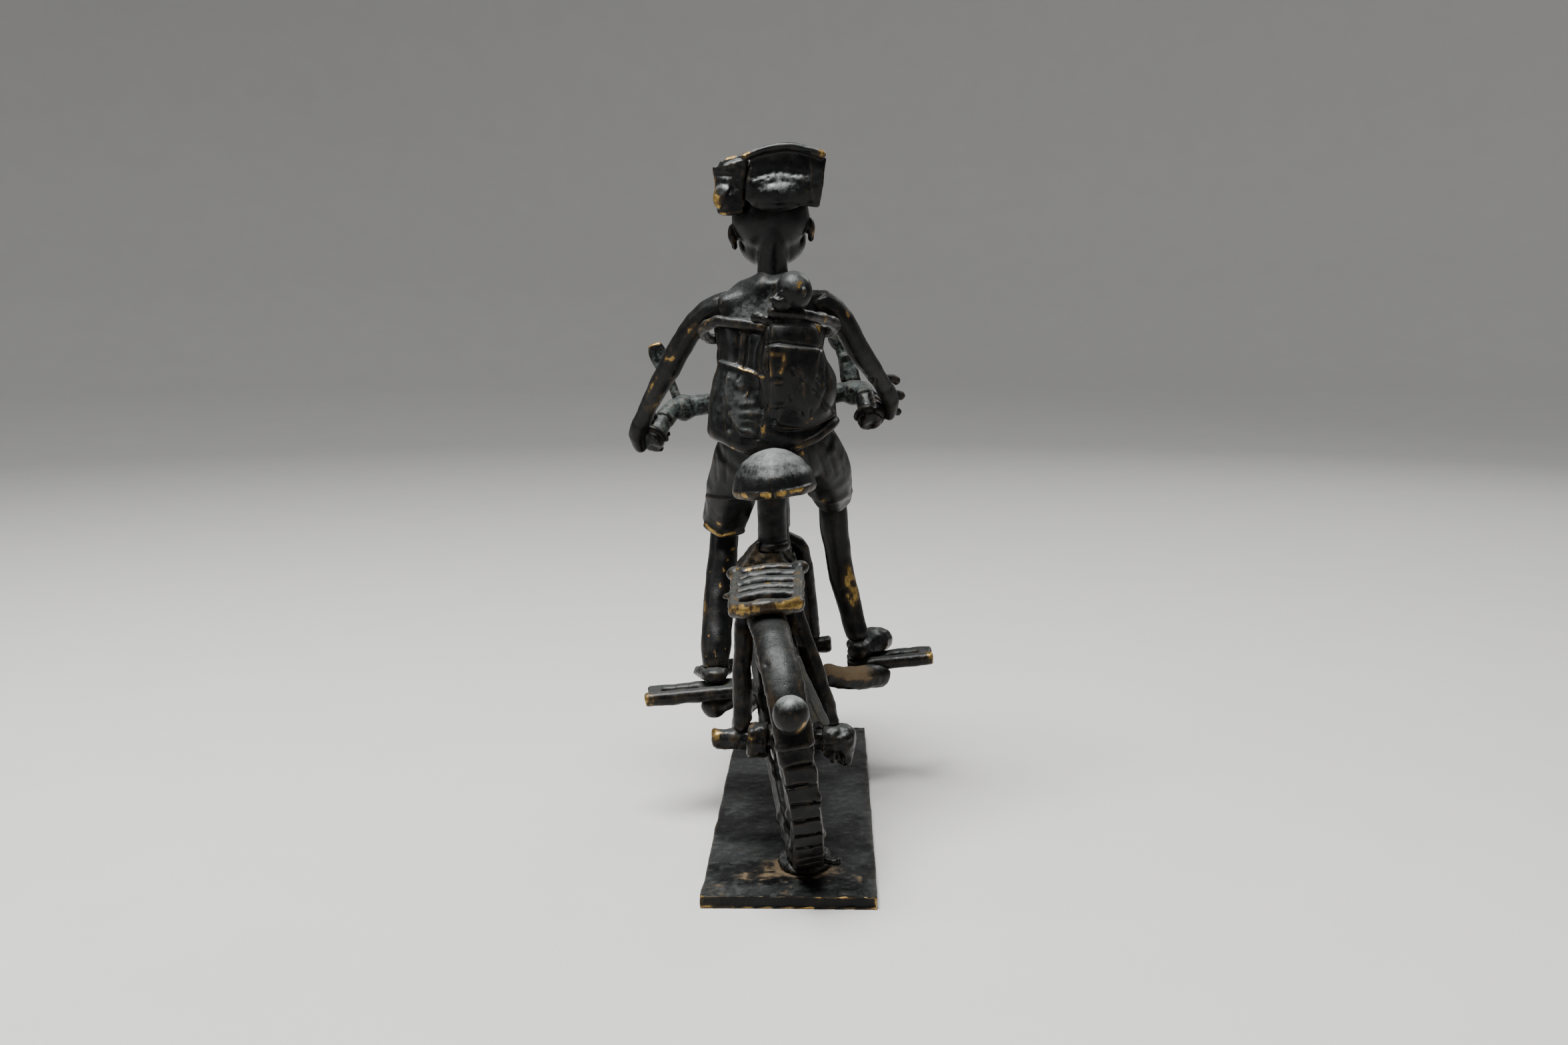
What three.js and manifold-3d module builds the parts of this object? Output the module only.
// Cast bronze statuette: a woman with a baby tied on her back rides a moped along a flat base plate.
// Millimetres, +Z up, the ride goes towards +Y, origin at the centre of the plate's bottom face.
// The moped and its rider lean to the left, so everything above the plate is built upright in its
// own frame (x to the rider's right, y forward, z up from the plate) and leaned as one group.
import * as THREE from 'three';
import { mergeVertices } from 'three/addons/utils/BufferGeometryUtils.js';
import { ConvexGeometry } from 'three/addons/geometries/ConvexGeometry.js';
import Module from 'manifold-3d';

const wasm = await Module();
wasm.setup();

// Driving dimensions
const FIT_GAP = 0.3; // between every two neighbouring pieces
const PLATE_LENGTH = 180;
const PLATE_WIDTH = 50;
const PLATE_THICKNESS = 4;
const LEAN = THREE.MathUtils.degToRad(6); // of the moped and rider, to the left
const TRACK_X = 5; // where the wheels stand across the plate
const WHEEL_RADIUS = 37.2;
const TYRE_WIDTH = 9.6;
const TYRE_DEPTH = 7;
const WHEEL_FACETS = 28;
const RIM_DEPTH = 3;
const SPOKES = 8;
const SPOKE_RADIUS = 1.3;
const HUB_RADIUS = 5.4;
const HUB_LENGTH = 9;
const REAR_AXLE_Y = -63;
const FRONT_AXLE_Y = 65;
const REAR_WHEEL_X = -2.9;
const REAR_WHEEL_TURN = THREE.MathUtils.degToRad(8);
const REAR_WHEEL_TILT = THREE.MathUtils.degToRad(3);
const FRONT_WHEEL_X = -4.4;
const FRONT_WHEEL_TURN = THREE.MathUtils.degToRad(-3);
const AXLE_RADIUS = 3;
const AXLE_OUT_LEFT = 24;
const AXLE_OUT_RIGHT = 16;
const FRONT_AXLE_HALF = 15;
const HUB_BARREL_RADIUS = 5.2;
const STAY_RADIUS = 2.7;
const TUBE_RADIUS = 3.8;
const MUDGUARD_GAP = 1.3;
const MUDGUARD_THICKNESS = 1.6;
const MUDGUARD_WIDTH = 10.6;
const LAMP_RADIUS = 4.8;
const BRACKET_Y = 12; // bottom bracket, where the pedals' axle passes
const BRACKET_Z = 38.5;
const BRACKET_RADIUS = 5;
const BRACKET_HALF = 8;
const SEAT_Y = -26;
const SEAT_POST_RADIUS = 4.5;
const SADDLE_Z = 106;
const SADDLE_WIDTH = 26.5;
const SADDLE_LENGTH = 32;
const SADDLE_HEIGHT = 13.4;
const RACK_WIDTH = 22;
const RACK_REAR_Y = -71.5;
const RACK_FRONT_Y = -38;
const RACK_STAND = 1.3; // above the top of the rear mudguard
const RACK_RISE = 4.6; // from its rear bar to its front bar
const RACK_X = -4;
const RACK_BAR_RADIUS = 1.8;
const RACK_SLATS = 4;
const RACK_SLAT_RADIUS = 1.9;
const RACK_SLAT_PITCH = 6.2;
const RACK_CORNER = 4;
const STEER_Y = 41; // handlebar crossbar
const STEER_Z = 131.5;
const BAR_RADIUS = 3.6;
const BAR_HALF = 33;
const GRIP_RADIUS = 3.3;
const PEDAL_LENGTH = 29.5;
const PEDAL_GAUGE = 9;
const PEDAL_ROD_RADIUS = 2.3;
const CRANK_REACH = 20;

// Working values that follow from the driving dimensions
const WHEEL_STAND = 0.4; // clear height under the tyres, filled by the braze
const WHEEL_Z = WHEEL_RADIUS + WHEEL_STAND;
const TYRE_INNER = WHEEL_RADIUS - TYRE_DEPTH;
const RIM_OUTER = TYRE_INNER - 1.4 * FIT_GAP;
const GUARD_INNER = WHEEL_RADIUS + MUDGUARD_GAP;
const GUARD_OUTER = GUARD_INNER + MUDGUARD_THICKNESS;
const GUARD_TOP = WHEEL_Z + GUARD_OUTER;
const RACK_REAR_Z = GUARD_TOP + RACK_STAND;
const RACK_FRONT_Z = RACK_REAR_Z + RACK_RISE;
const HEAD_TUBE_LOW_Z = GUARD_TOP + 7.3; // room for the fork's crown under it
const UP = new THREE.Vector3(0, 0, 1);
const ACROSS = new THREE.Vector3(1, 0, 0);
const FORWARD = new THREE.Vector3(0, 1, 0);

// ---- Solids: closed geometry in, manifold booleans, closed geometry out ----

function merged(geometry) {
  const bare = geometry.clone();
  bare.deleteAttribute('normal');
  bare.deleteAttribute('uv');
  return mergeVertices(bare, 1e-4);
}

function toSolid(geometry) {
  const closed = merged(geometry);
  return new wasm.Manifold(new wasm.Mesh({
    numProp: 3,
    vertProperties: new Float32Array(closed.attributes.position.array),
    triVerts: new Uint32Array(closed.index.array),
  }));
}

function toGeometry(solid) {
  const mesh = solid.getMesh();
  const geometry = new THREE.BufferGeometry();
  geometry.setAttribute('position', new THREE.BufferAttribute(new Float32Array(mesh.vertProperties), 3));
  geometry.setIndex(new THREE.BufferAttribute(new Uint32Array(mesh.triVerts), 1));
  return geometry;
}

// The same closed geometry with every wall moved outwards by a clearance.
function grown(geometry, clearance) {
  const closed = merged(geometry);
  closed.computeVertexNormals();
  const place = closed.attributes.position;
  const normal = closed.attributes.normal;
  const corner = [new THREE.Vector3(), new THREE.Vector3(), new THREE.Vector3()];
  const sharpness = new Array(place.count).fill(1);
  const out = new THREE.Vector3();
  for (let i = 0; i < closed.index.count; i += 3) {
    const trio = [0, 1, 2].map((step) => closed.index.getX(i + step));
    trio.forEach((vertex, side) => corner[side].fromBufferAttribute(place, vertex));
    const wall = new THREE.Triangle(...corner).getNormal(new THREE.Vector3());
    for (const vertex of trio) {
      out.fromBufferAttribute(normal, vertex);
      sharpness[vertex] = Math.min(sharpness[vertex], Math.max(0.45, out.dot(wall)));
    }
  }
  for (let i = 0; i < place.count; i += 1) {
    out.fromBufferAttribute(normal, i).multiplyScalar(clearance / sharpness[i]);
    place.setXYZ(i, place.getX(i) + out.x, place.getY(i) + out.y, place.getZ(i) + out.z);
  }
  return closed;
}

function joined(geometries) {
  return geometries.map(toSolid).reduce((whole, next) => whole.add(next));
}

function largestBody(solid) {
  return solid.decompose().reduce((best, next) => (next.volume() > best.volume() ? next : best));
}

function boxesMeet(a, b) {
  return [0, 1, 2].every((axis) => a.min[axis] < b.max[axis] && b.min[axis] < a.max[axis]);
}

// ---- Forms ----

// A closed skin through rings of points, with a point at each end.
function skin(rings, firstPole, lastPole) {
  const sides = rings[0].length;
  const points = [firstPole, ...rings.flat(), lastPole];
  const faces = [];
  const at = (row, side) => 1 + row * sides + (side % sides);
  for (let side = 0; side < sides; side += 1) {
    faces.push(0, at(0, side + 1), at(0, side));
    for (let row = 0; row < rings.length - 1; row += 1) {
      faces.push(at(row, side), at(row, side + 1), at(row + 1, side));
      faces.push(at(row, side + 1), at(row + 1, side + 1), at(row + 1, side));
    }
    faces.push(points.length - 1, at(rings.length - 1, side), at(rings.length - 1, side + 1));
  }
  const geometry = new THREE.BufferGeometry().setFromPoints(points);
  geometry.setIndex(faces);
  return geometry;
}

// A limb, tube or body along a smooth line. Each station is [x, y, z, half width, half depth];
// the width is measured along `across` and the depth square to it. The ends are domed.
function limb(stations, { sides = 10, steps = 2, dome = 0.5, across = ACROSS } = {}) {
  const smooth = (points) => new THREE.CatmullRomCurve3(points, false, 'catmullrom', 0.5);
  const line = smooth(stations.map(([x, y, z]) => new THREE.Vector3(x, y, z)));
  const girth = smooth(stations.map(([, , , width, depth = width]) => new THREE.Vector3(width, depth, 0)));
  const spans = (stations.length - 1) * steps;
  const ringAt = (t, shrink, push) => {
    const ahead = line.getTangent(t);
    const wide = across.clone().addScaledVector(ahead, -across.dot(ahead)).normalize();
    const deep = new THREE.Vector3().crossVectors(ahead, wide);
    const size = girth.getPoint(t).multiplyScalar(shrink);
    const centre = line.getPoint(t).addScaledVector(ahead, push);
    return Array.from({ length: sides }, (_, side) => {
      const angle = (side / sides) * 2 * Math.PI;
      return centre.clone()
        .addScaledVector(wide, size.x * Math.cos(angle))
        .addScaledVector(deep, size.y * Math.sin(angle));
    });
  };
  const rings = [];
  const first = Math.min(stations[0][3], stations[0][4] ?? stations[0][3]) * dome;
  const tip = stations[stations.length - 1];
  const last = Math.min(tip[3], tip[4] ?? tip[3]) * dome;
  if (first > 0) rings.push(ringAt(0, 0.72, -first * 0.7));
  for (let span = 0; span <= spans; span += 1) rings.push(ringAt(span / spans, 1, 0));
  if (last > 0) rings.push(ringAt(1, 0.72, last * 0.7));
  const start = line.getPoint(0).addScaledVector(line.getTangent(0), -first);
  const end = line.getPoint(1).addScaledVector(line.getTangent(1), last);
  return skin(rings, start, end);
}

function rod(points, radius, options = {}) {
  return limb(points.map((point) => [...point, radius]), { sides: 8, dome: 0, ...options });
}

function ball([x, y, z], [rx, ry, rz], sides = 12) {
  const geometry = new THREE.SphereGeometry(1, sides, Math.round(sides * 0.6));
  geometry.scale(rx, ry, rz);
  return geometry.translate(x, y, z);
}

function block(sizeX, sizeY, sizeZ, x, y, z) {
  return new THREE.BoxGeometry(sizeX, sizeY, sizeZ).translate(x, y, z);
}

function bundle(corners) {
  return new ConvexGeometry(corners.map(([x, y, z]) => new THREE.Vector3(x, y, z)));
}

// A ring about the x axis, from a closed outline of [radius, x] points.
function ring(outline, segments) {
  const points = outline.map(([radius, x]) => new THREE.Vector2(radius, x)).reverse();
  points.push(points[0].clone());
  return new THREE.LatheGeometry(points, segments).rotateZ(-Math.PI / 2);
}

// ---- The frame that everything above the plate stands in ----

const standing = new THREE.Group();
standing.position.set(TRACK_X, 0, PLATE_THICKNESS);
standing.rotation.y = -LEAN;
standing.updateMatrixWorld();
const intoStanding = standing.matrixWorld.clone().invert();

const statuette = new THREE.Group();
statuette.add(standing);

const FINISHES = {
  bronze: { color: 0x2b241c, roughness: 0.5, metalness: 0.85 },
  worn_bronze: { color: 0x6d5429, roughness: 0.38, metalness: 0.9 },
  dusty_bronze: { color: 0x3a3026, roughness: 0.75, metalness: 0.6 },
  braze: { color: 0x5e5038, roughness: 0.8, metalness: 0.5 },
};
const placed = [];

// Adds one piece to the moped and rider. A later piece is fitted round every earlier one that it
// meets, with the fit gap between them. `cuts` are extra spaces to take out of it.
function piece(name, forms, finish = 'bronze', cuts = []) {
  let solid = joined(forms);
  const clearance = joined(forms.map((form) => grown(form, FIT_GAP)));
  for (const cut of cuts) solid = solid.subtract(toSolid(cut));
  for (const other of placed) {
    if (boxesMeet(solid.boundingBox(), other.boundingBox())) solid = solid.subtract(other);
  }
  placed.push(clearance);
  const material = new THREE.MeshStandardMaterial(FINISHES[finish]);
  const mesh = new THREE.Mesh(toGeometry(largestBody(solid)), material);
  mesh.name = name;
  standing.add(mesh);
  return mesh;
}

// ---- Base plate and the braze that holds the wheels to it ----

const plateForm = block(PLATE_WIDTH, PLATE_LENGTH, PLATE_THICKNESS, 0, 0, PLATE_THICKNESS / 2);
const plateMaterial = new THREE.MeshStandardMaterial(FINISHES.bronze);
const basePlate = new THREE.Mesh(plateForm, plateMaterial);
basePlate.name = 'base_plate';
statuette.add(basePlate);
placed.push(toSolid(grown(plateForm, FIT_GAP).applyMatrix4(intoStanding)));

// ---- Wheels ----

function wheelFrame(x, y, turn, tilt) {
  const frame = new THREE.Matrix4().makeRotationFromEuler(new THREE.Euler(0, -tilt, turn, 'ZYX'));
  return frame.setPosition(x, y, WHEEL_Z);
}

function tyreForm() {
  const half = TYRE_WIDTH / 2;
  const bead = half - 1.6;
  return ring([
    [TYRE_INNER, -bead], [TYRE_INNER, bead], [TYRE_INNER + TYRE_DEPTH * 0.55, half],
    [WHEEL_RADIUS - 0.9, half - 0.6], [WHEEL_RADIUS, half - 2], [WHEEL_RADIUS, 2 - half],
    [WHEEL_RADIUS - 0.9, 0.6 - half], [TYRE_INNER + TYRE_DEPTH * 0.55, -half],
  ], WHEEL_FACETS);
}

function wheelForms() {
  const half = TYRE_WIDTH / 2 - 2;
  const inner = RIM_OUTER - RIM_DEPTH;
  const outline = [[inner, -half], [inner, half], [RIM_OUTER, half], [RIM_OUTER, -half]];
  const forms = [ring(outline, WHEEL_FACETS)];
  for (let spoke = 0; spoke < SPOKES; spoke += 1) {
    const angle = ((spoke + 0.5) / SPOKES) * 2 * Math.PI;
    const reach = inner + RIM_DEPTH / 2;
    const tip = [0, reach * Math.cos(angle), reach * Math.sin(angle)];
    forms.push(rod([[0, 0, 0], tip], SPOKE_RADIUS, { sides: 5, steps: 1 }));
  }
  forms.push(rod([[-HUB_LENGTH / 2, 0, 0], [HUB_LENGTH / 2, 0, 0]], HUB_RADIUS,
    { sides: 12, steps: 1, across: FORWARD }));
  return forms;
}

function guardForm(fromAngle, toAngle) {
  const shape = new THREE.Shape();
  shape.absarc(0, 0, GUARD_OUTER, fromAngle, toAngle, false);
  shape.absarc(0, 0, GUARD_INNER, toAngle, fromAngle, true);
  const strip = new THREE.ExtrudeGeometry(shape,
    { depth: MUDGUARD_WIDTH, bevelEnabled: false, curveSegments: 14 });
  strip.translate(0, 0, -MUDGUARD_WIDTH / 2);
  const turn = new THREE.Matrix4().makeBasis(FORWARD, UP, ACROSS);
  return strip.applyMatrix4(turn);
}

const rearFrame = wheelFrame(REAR_WHEEL_X, REAR_AXLE_Y, REAR_WHEEL_TURN, REAR_WHEEL_TILT);
const frontFrame = wheelFrame(FRONT_WHEEL_X, FRONT_AXLE_Y, FRONT_WHEEL_TURN, 0);
const inRear = (form) => form.applyMatrix4(rearFrame);
const inFront = (form) => form.applyMatrix4(frontFrame);

const rearAxleLeft = [-AXLE_OUT_LEFT, REAR_AXLE_Y, WHEEL_Z + 2.6];
const rearAxleRight = [AXLE_OUT_RIGHT, REAR_AXLE_Y, WHEEL_Z - 1.6];
piece('rear_axle', [rod([rearAxleLeft, rearAxleRight], AXLE_RADIUS, { steps: 1, across: FORWARD })],
  'worn_bronze');
piece('rear_tyre', [inRear(tyreForm())]);
piece('rear_wheel', wheelForms().map(inRear));
piece('front_axle', [inFront(rod([[-FRONT_AXLE_HALF, 0, 0], [FRONT_AXLE_HALF, 0, 0]], AXLE_RADIUS,
  { steps: 1, across: FORWARD }))], 'worn_bronze');
piece('front_tyre', [inFront(tyreForm())]);
piece('front_wheel', wheelForms().map(inFront));

// Rear hub barrel on the left, and the ragged lock nut on the right
const alongRearAxle = (share) => rearAxleLeft.map((low, axis) => low + (rearAxleRight[axis] - low) * share);
piece('rear_hub_barrel', [rod([alongRearAxle(0.26), alongRearAxle(0.4)], HUB_BARREL_RADIUS,
  { steps: 1, across: FORWARD })], 'dusty_bronze');
piece('rear_axle_nut', [limb([
  [9, REAR_AXLE_Y, WHEEL_Z - 1, 4.6, 5],
  [15, REAR_AXLE_Y, WHEEL_Z - 2, 4.8, 5.2],
], { steps: 1, across: FORWARD, sides: 9 })], 'dusty_bronze');

// ---- Mudguards, lamps ----

const REAR_GUARD_END = THREE.MathUtils.degToRad(168);
const REAR_GUARD_START = THREE.MathUtils.degToRad(38);
const FRONT_GUARD_END = THREE.MathUtils.degToRad(150);
const FRONT_GUARD_START = THREE.MathUtils.degToRad(35);
const LAMP_ANGLE = THREE.MathUtils.degToRad(154);
const lampReach = GUARD_OUTER + LAMP_RADIUS * 0.75;
piece('rear_mudguard', [inRear(guardForm(REAR_GUARD_START, REAR_GUARD_END))]);
piece('front_mudguard', [inFront(guardForm(FRONT_GUARD_START, FRONT_GUARD_END))]);
piece('tail_lamp', [inRear(ball([0, lampReach * Math.cos(LAMP_ANGLE), lampReach * Math.sin(LAMP_ANGLE)],
  [LAMP_RADIUS, LAMP_RADIUS, LAMP_RADIUS]))], 'worn_bronze');

// ---- Frame tubes ----

const bracket = [0, BRACKET_Y, BRACKET_Z];
const seatLug = [-5, SEAT_Y, 86];
const headLow = [FRONT_WHEEL_X, 53, HEAD_TUBE_LOW_Z];
const headHigh = [FRONT_WHEEL_X + 1.4, 46.5, 103];
piece('bottom_bracket', [rod([[-BRACKET_HALF, BRACKET_Y, BRACKET_Z], [BRACKET_HALF, BRACKET_Y, BRACKET_Z]],
  BRACKET_RADIUS, { steps: 1, across: FORWARD, sides: 12 })]);
piece('head_tube', [rod([headLow, headHigh], 5, { steps: 1, sides: 12 })]);
piece('seat_post', [
  rod([[-2.2, SEAT_Y, 90.4], [-0.8, SEAT_Y, SADDLE_Z + 5]], SEAT_POST_RADIUS, { steps: 1, sides: 14 }),
  rod([[-2.4, SEAT_Y, 88.6], [-2.2, SEAT_Y, 91.2]], SEAT_POST_RADIUS + 0.8, { steps: 1, sides: 14 }),
]);
piece('seat_tube', [
  rod([bracket, seatLug], TUBE_RADIUS, { steps: 1 }),
  bundle([
    [-13.6, SEAT_Y - 4, 83], [-13.6, SEAT_Y + 4, 83], [2.6, SEAT_Y - 4, 82.4], [2.6, SEAT_Y + 4, 82.4],
    [-7, SEAT_Y - 4, 92], [-7, SEAT_Y + 4, 92], [-3, SEAT_Y - 4, 92], [-3, SEAT_Y + 4, 92],
  ]),
], 'dusty_bronze');
piece('top_tube', [rod([seatLug, [-4, 12, 89], [FRONT_WHEEL_X + 0.8, 49, 97]], TUBE_RADIUS)]);
piece('down_tube', [rod([bracket, [FRONT_WHEEL_X + 0.4, 51, HEAD_TUBE_LOW_Z + 4.5]], TUBE_RADIUS,
  { steps: 1 })]);
const stayStartX = BRACKET_HALF - 2.5;
piece('chain_stay_left', [rod([[-stayStartX, BRACKET_Y - 3, BRACKET_Z], [-17, -24, WHEEL_Z + 1],
  alongRearAxle(0.21)], STAY_RADIUS)]);
piece('chain_stay_right', [rod([[stayStartX, BRACKET_Y - 3, BRACKET_Z], [7, -24, WHEEL_Z],
  alongRearAxle(0.79)], STAY_RADIUS)]);

// ---- Luggage rack ----

const rackLift = (y) => RACK_REAR_Z
  + ((y - RACK_REAR_Y) / (RACK_FRONT_Y - RACK_REAR_Y)) * (RACK_FRONT_Z - RACK_REAR_Z);
const rackHalf = RACK_WIDTH / 2 - RACK_BAR_RADIUS;
const rackPoint = (side, y) => [RACK_X + side * rackHalf, y, rackLift(y)];
const rackCornerX = rackHalf - RACK_CORNER * 0.6;
const rackHoop = [
  rackPoint(-1, RACK_FRONT_Y),
  rackPoint(-1, RACK_REAR_Y + RACK_CORNER),
  [RACK_X - rackCornerX, RACK_REAR_Y + 0.6, RACK_REAR_Z],
  [RACK_X, RACK_REAR_Y, RACK_REAR_Z + 0.7],
  [RACK_X + rackCornerX, RACK_REAR_Y + 0.6, RACK_REAR_Z],
  rackPoint(1, RACK_REAR_Y + RACK_CORNER),
  rackPoint(1, RACK_FRONT_Y),
];
const rackFrontBar = [rackPoint(-1, RACK_FRONT_Y), [RACK_X, RACK_FRONT_Y, RACK_FRONT_Z + 1],
  rackPoint(1, RACK_FRONT_Y)];
const barStyle = { across: UP };
piece('rack_frame', [rod(rackHoop, RACK_BAR_RADIUS, barStyle),
  rod(rackFrontBar, RACK_BAR_RADIUS, { ...barStyle, dome: 1 })], 'worn_bronze');
for (let slat = 1; slat <= RACK_SLATS; slat += 1) {
  const y = RACK_FRONT_Y - slat * RACK_SLAT_PITCH;
  const bowed = [rackPoint(-1, y), [RACK_X, y, rackLift(y) + 1], rackPoint(1, y)];
  piece(`rack_slat_${slat}`, [rod(bowed, RACK_SLAT_RADIUS, barStyle)]);
}
const rackLegY = REAR_AXLE_Y + 3;
piece('rack_leg_left', [rod([
  [-10.6, rackLegY, rackLift(rackLegY) - 2.5], [-13.2, rackLegY - 1, 60], alongRearAxle(0.22),
], STAY_RADIUS)]);
piece('rack_leg_right', [rod([
  [3, rackLegY, rackLift(rackLegY) - 3], [8.2, rackLegY - 1, 56], alongRearAxle(0.9),
], STAY_RADIUS)], 'dusty_bronze');

// ---- Chain guard: a thin plate on the right, its top edge leaning in over the wheel, with a lip
// that flares out behind the rack's leg ----

const CHAIN_GUARD_THICKNESS = 1.8;
const CHAIN_GUARD_SLOPE = 0.19;
const CHAIN_GUARD_X = 14.2;
const chainGuardShape = new THREE.Shape();
chainGuardShape.moveTo(-73, 44.5);
chainGuardShape.quadraticCurveTo(-74, 64, -62, 64.5);
chainGuardShape.lineTo(-20, 55);
chainGuardShape.lineTo(4, 51);
chainGuardShape.lineTo(6, 46);
chainGuardShape.closePath();
const chainGuard = new THREE.ExtrudeGeometry(chainGuardShape,
  { depth: CHAIN_GUARD_THICKNESS, bevelEnabled: false, curveSegments: 5 });
chainGuard.applyMatrix4(new THREE.Matrix4().makeBasis(FORWARD, UP, ACROSS));
const leanIn = new THREE.Matrix4().makeShear(0, 0, 0, 0, -CHAIN_GUARD_SLOPE, 0);
chainGuard.applyMatrix4(leanIn.setPosition(CHAIN_GUARD_X, 0, 0));
const chainGuardLip = bundle([[2.4, -68, 64], [4.6, -75, 65], [3, -75.6, 65], [6, -70, 45], [7.4, -70, 45],
  [11, -76, 44.6], [9.4, -76.6, 44.6]]);
piece('chain_guard', [chainGuard, chainGuardLip], 'dusty_bronze');

// ---- Saddle: a dome with a flat underside, narrower at the nose ----

function saddleForm() {
  const half = SADDLE_WIDTH / 2;
  const layers = [[0, 0.96], [0.12, 1], [0.45, 0.93], [0.75, 0.72], [0.93, 0.42]];
  const rings = layers.map(([rise, spread]) => Array.from({ length: 16 }, (_, side) => {
    const angle = (side / 16) * 2 * Math.PI;
    const along = Math.sin(angle);
    const nose = 1 - 0.25 * Math.max(0, along);
    return new THREE.Vector3(half * spread * nose * Math.cos(angle),
      SEAT_Y + 2 + (SADDLE_LENGTH / 2) * spread * along, SADDLE_Z + SADDLE_HEIGHT * rise);
  }));
  return skin(rings, new THREE.Vector3(0, SEAT_Y, SADDLE_Z),
    new THREE.Vector3(1, SEAT_Y + 3, SADDLE_Z + SADDLE_HEIGHT));
}
piece('saddle', [saddleForm()], 'worn_bronze');

// ---- Steering: grips, handlebar, stem, fork, lamp and mirrors ----

const gripLeft = [[-38.8, 35.2, 127.9], [-42.9, 27, 121.6]];
const gripRight = [[31.7, 34.8, 128.6], [32.4, 26.8, 121.2]];
function gripForm([from, to]) {
  const between = (share) => from.map((start, axis) => start + (to[axis] - start) * share);
  return limb([[...from, GRIP_RADIUS], [...between(0.7), GRIP_RADIUS], [...between(0.82), GRIP_RADIUS + 0.9],
    [...to, GRIP_RADIUS + 0.9]], { dome: 0.2, steps: 1 });
}
piece('grip_left', [gripForm(gripLeft)]);
piece('grip_right', [gripForm(gripRight)]);
piece('handlebar', [rod([
  gripLeft[0], [-35.5, STEER_Y - 1.5, STEER_Z + 0.2], [-BAR_HALF + 5, STEER_Y, STEER_Z + 0.5],
  [0, STEER_Y + 1, STEER_Z],
  [BAR_HALF - 7, STEER_Y, STEER_Z - 0.2], [31, STEER_Y - 1.5, STEER_Z - 0.6], gripRight[0],
], BAR_RADIUS, { across: UP, steps: 2 })]);
piece('stem', [rod([headHigh, [-0.8, STEER_Y + 1.2, STEER_Z - 2]], 3, { steps: 1 })]);
const bladeOut = TYRE_WIDTH / 2 + STAY_RADIUS + 1.2;
const blade = (side) => [
  [FRONT_WHEEL_X + side * bladeOut, FRONT_AXLE_Y, WHEEL_Z],
  [FRONT_WHEEL_X + side * bladeOut, 59.5, 68],
  [FRONT_WHEEL_X + side * (bladeOut - 2.2), 57, 78],
];
const forkCrown = [FRONT_WHEEL_X, 56.2, GUARD_TOP + STAY_RADIUS - 0.4]; // sits on the mudguard
piece('fork', [rod([...blade(-1), forkCrown, ...blade(1).reverse()], STAY_RADIUS, { across: FORWARD })]);
const lampX = headHigh[0] + 0.7;
piece('headlamp', [limb([[lampX, 47, 112.4, 3.6], [lampX, 51, 112.8, 5.6], [lampX, 55.5, 113.2, 7],
  [lampX, 58.5, 113.4, 7]], { dome: 0.35, steps: 1 })]);
piece('mirror_left', [limb([[-33.5, 42, 134, 1.6], [-35.5, 43.5, 141, 1.5, 1.3], [-37.4, 44.4, 146, 2.6, 1.2],
  [-39, 45, 151, 3.3, 1.1], [-39.8, 45, 154.4, 2.4, 0.9]], { steps: 2, sides: 10 })], 'worn_bronze');
piece('mirror_right', [limb([
  [27.5, 42, 134, 3.4, 2.2], [26.5, 43.5, 141, 2.8, 1.7], [24.8, 44.5, 146.2, 1.8, 1.5],
  [23.4, 45, 150, 2.6, 2.2], [22.8, 45, 152.6, 1.9, 1.7],
], { steps: 2, sides: 10 })]);

// ---- Pedals and cranks ----

function pedalForms(fromX, y, z, webX) {
  const end = fromX + PEDAL_LENGTH;
  const rodStyle = { steps: 1, across: FORWARD, sides: 8 };
  const rods = [-0.5, 0.5].map((side) => {
    const rodY = y + side * PEDAL_GAUGE;
    return rod([[fromX, rodY, z], [end, rodY, z]], PEDAL_ROD_RADIUS, rodStyle);
  });
  const bridges = [fromX + PEDAL_ROD_RADIUS, end - PEDAL_ROD_RADIUS].map((x) => (
    block(PEDAL_ROD_RADIUS * 2, PEDAL_GAUGE, PEDAL_ROD_RADIUS * 1.4, x, y, z)));
  return [...rods, ...bridges, block(11, PEDAL_GAUGE, PEDAL_ROD_RADIUS, webX, y, z)];
}
const pedalLeftX = -49.6;
const pedalRightX = 16.6;
const pedalLeftY = BRACKET_Y - CRANK_REACH + 1;
const pedalRightY = BRACKET_Y + CRANK_REACH;
piece('pedal_left', pedalForms(pedalLeftX, pedalLeftY, 41.2, -27), 'worn_bronze');
piece('pedal_right', pedalForms(pedalRightX, pedalRightY, 37, 24), 'worn_bronze');
piece('crank_left', [
  rod([
    [-BRACKET_HALF - FIT_GAP, BRACKET_Y, BRACKET_Z], [-18, BRACKET_Y - 10, 37.5], [-27, pedalLeftY, 36.6],
  ], 3.2),
  ball([-28, pedalLeftY, 36.2], [4.2, 4.2, 4.2], 12),
]);
piece('crank_right', [limb([[BRACKET_HALF + FIT_GAP, BRACKET_Y, BRACKET_Z, 3.6], [17, BRACKET_Y + 6, 35, 4.1],
  [28, pedalRightY - 5, 33, 4]], { across: FORWARD })], 'dusty_bronze');

// ---- Rider ----

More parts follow.
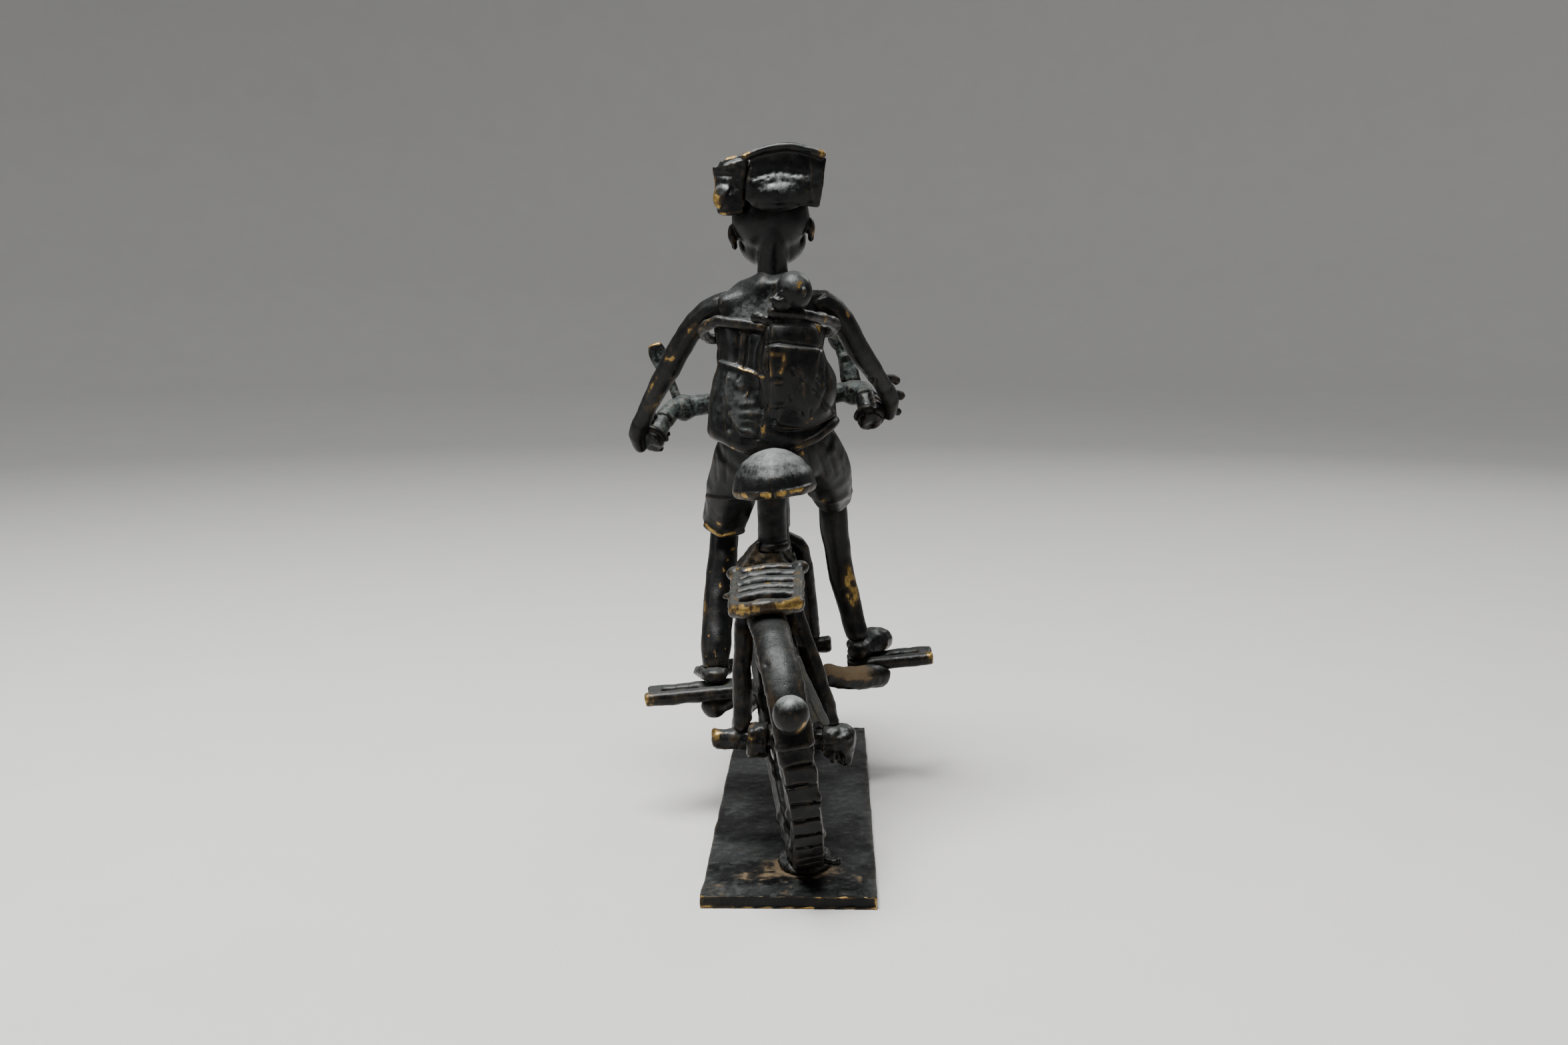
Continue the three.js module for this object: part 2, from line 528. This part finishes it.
piece('torso', [limb([[1, -8, 113, 12, 8], [1, -7.4, 123, 14, 9], [1.5, -6, 137, 14.8, 9.2],
  [2, -3, 150, 15.4, 9.2], [3, 0, 160, 16.4, 8.8], [4, 1.5, 166, 14.4, 7.8], [5.5, 2.5, 170, 8, 6.2]],
{ sides: 16 })]);
const neckRadius = 5.2;
piece('head', [
  limb([[5.6, 3, 166, neckRadius + 0.4], [5.8, 3.6, 174.5, neckRadius], [6.2, 5.6, 178.5, 8, 9.6],
    [6.3, 5, 184, 11, 12.2], [6.5, 4, 191, 12.4, 13.6], [6.8, 3.4, 197, 12, 13.4], [7, 3.4, 201.5, 9.6, 11]],
  { sides: 14 }),
  ball([-6.6, 3.5, 188.2], [1.7, 2.8, 3.6], 8),
  ball([19.6, 3.5, 189.3], [1.7, 2.8, 3.6], 8),
  limb([[6.4, 17.2, 192, 1.2], [6.4, 18.4, 188.5, 1.7], [6.4, 18.8, 186, 2.2, 1.7]], { steps: 1, sides: 8 }),
]);
piece('leg_left', [limb([[-19.6, 17, 97, 4.4], [-20.4, 17, 88, 4.8], [-24.4, 8, 67, 5.2], [-26, 0, 54, 4.9],
  [-26.5, -3, 48.4, 4.2]])]);
piece('leg_right', [limb([
  [17.6, 27, 100, 4.4], [16.9, 28, 91, 4.9], [17.1, 29.5, 74, 4.5], [19.2, 29, 57, 4.1], [21, 28, 47.6, 4],
])], 'worn_bronze');
piece('foot_left', [limb([[-26.8, -9, 45.8, 3.6, 2.4], [-27.2, -3, 46.4, 5.2, 3], [-27.8, 4, 45.4, 7, 2.4],
  [-28, 10, 44.8, 6.4, 1.7]])]);
piece('foot_right', [limb([[20.2, 25, 42.4, 3.6, 2.8], [22.4, 31, 43.2, 4.8, 4], [26.8, 36.6, 43.4, 5.2, 4.8],
  [29.4, 40.6, 42.4, 4.4, 3.8]])]);
piece('shorts', [
  limb([[1, -7, 108, 12, 8], [1, -6, 115, 17, 11.5], [1, -6, 121, 18.4, 12], [1, -6, 127, 17.6, 11.6]],
    { sides: 16, dome: 0.15 }),
  limb([[-9, -4, 118, 10, 10.4], [-15, 6, 106, 8.8, 9.2], [-19.8, 15, 93.4, 7.4, 7.4]], { dome: 0 }),
  limb([[10.6, -4, 119, 10.4, 10.4], [15.6, 8, 108, 8.8, 9.2], [17.4, 22, 98.6, 6.8, 7.6]], { dome: 0 }),
]);
piece('arm_left', [
  limb([[-9, 0.5, 165, 4.8], [-16.5, 1.5, 163.6, 4.3], [-24, 4, 157.4, 3.8], [-31.6, 9, 147.2, 3.7],
    [-38.8, 16, 138.2, 3.2], [-44.8, 22.6, 129.2, 2.9]]),
  limb([[-45, 23, 129, 3, 3.4], [-47, 26.5, 125, 2.8, 4.2], [-46.6, 29, 120.6, 2.2, 3.4]]),
]);
piece('arm_right', [
  limb([[12, 0.5, 163.8, 4.8], [20.5, 1.5, 162.8, 4.3], [26, 3.6, 157.2, 3.9], [30.2, 8.4, 147.4, 3.7],
    [34.6, 15.6, 139.4, 3.2], [38, 22.4, 133, 2.9]]),
  limb([[38.2, 23, 132.4, 3, 3.4], [40, 27.5, 128, 2.8, 4.2], [39, 29.5, 122.4, 2.2, 3.4]]),
]);

// ---- Head-wrap: two folded bundles of cloth ----

piece('head_wrap_right', [bundle([
  [3, -12, 209.4], [14.7, -12, 211.6], [26.2, -11, 207.2], [24.4, -12.4, 199], [22.4, -10.5, 192.6],
  [10, -13.4, 194.8], [-0.4, -11, 197], [1, -12.6, 202], [1, 9, 209], [14.6, 11, 212], [24.6, 9, 207],
  [21.4, 8, 194.4], [-0.4, 8, 198],
])]);
piece('head_wrap_left', [bundle([
  [-9.4, -6, 208.6], [-9.6, -6, 194.2], [-6, -7.6, 193], [1.4, -9.4, 209.6], [3, -7, 194], [-9, 15, 207.4],
  [-9, 14, 194.6], [10, 18.6, 209], [20, 16.6, 204.6], [19.4, 16, 197.4], [3, 19.4, 196],
])]);

// ---- Baby and the wrapper cloth that ties it on ----

piece('baby_body', [limb([[7, -18, 136, 5.4, 5], [7.6, -18, 148, 7.4, 6.6], [9, -19, 156, 6.8, 6],
  [10.6, -20.6, 162, 4.6, 4.2]])]);
piece('baby_head', [
  ball([12.2, -24, 167.4], [6, 6, 6.2]),
  ball([6.6, -24.4, 166.6], [1.6, 2.4, 2.2], 8),
], 'worn_bronze');
const rollStyle = { across: UP, dome: 1 };
piece('wrapper_roll_left', [rod([[1.8, 11.8, 154.4], [-8, 10.6, 154.6], [-16.8, 4, 155], [-18.6, -4.6, 158.4],
  [-13, -11, 160.6], [-5, -14, 159], [2.8, -15.4, 157.2]], 1.7, rollStyle)]);
piece('wrapper_roll_right', [rod([[2.8, 11.9, 154.2], [13, 11, 153.8], [22.4, 5, 153.2], [24, -4.4, 155.8],
  [20.6, -12, 157.8], [14, -24.4, 160], [5, -24, 161.8]], 1.7, rollStyle)]);
const hemWedge = (side) => bundle([-40, 40].flatMap((y) => [
  [1 + side * 5, y, 116.6], [1 + side * 34, y, 133], [1 + side * 34, y, 96], [1 + side * 5, y, 96],
]));
piece('wrapper', [
  limb([
    [1, -10, 117.6, 20.4, 12.6], [1, -8.6, 126, 20.2, 13], [1, -7, 137, 19.4, 12.6],
    [1.6, -5, 149, 17.8, 11.8], [2.8, -3, 157.4, 18.2, 11.4],
  ], { sides: 16, dome: 0.05 }),
  ball([9, -16.6, 144], [11.4, 11, 15], 14),
], 'bronze', [hemWedge(-1), hemWedge(1)]);

// ---- Braze where the wheels meet the plate ----

const brazeHalf = TYRE_WIDTH / 2 + 3;
piece('rear_wheel_braze', [ball([REAR_WHEEL_X + 1.8, REAR_AXLE_Y - 1, WHEEL_STAND],
  [brazeHalf + 0.4, 11.5, 5])], 'braze');
piece('front_wheel_braze', [ball([FRONT_WHEEL_X, FRONT_AXLE_Y, WHEEL_STAND], [brazeHalf, 11, 4])], 'braze');

export default statuette;
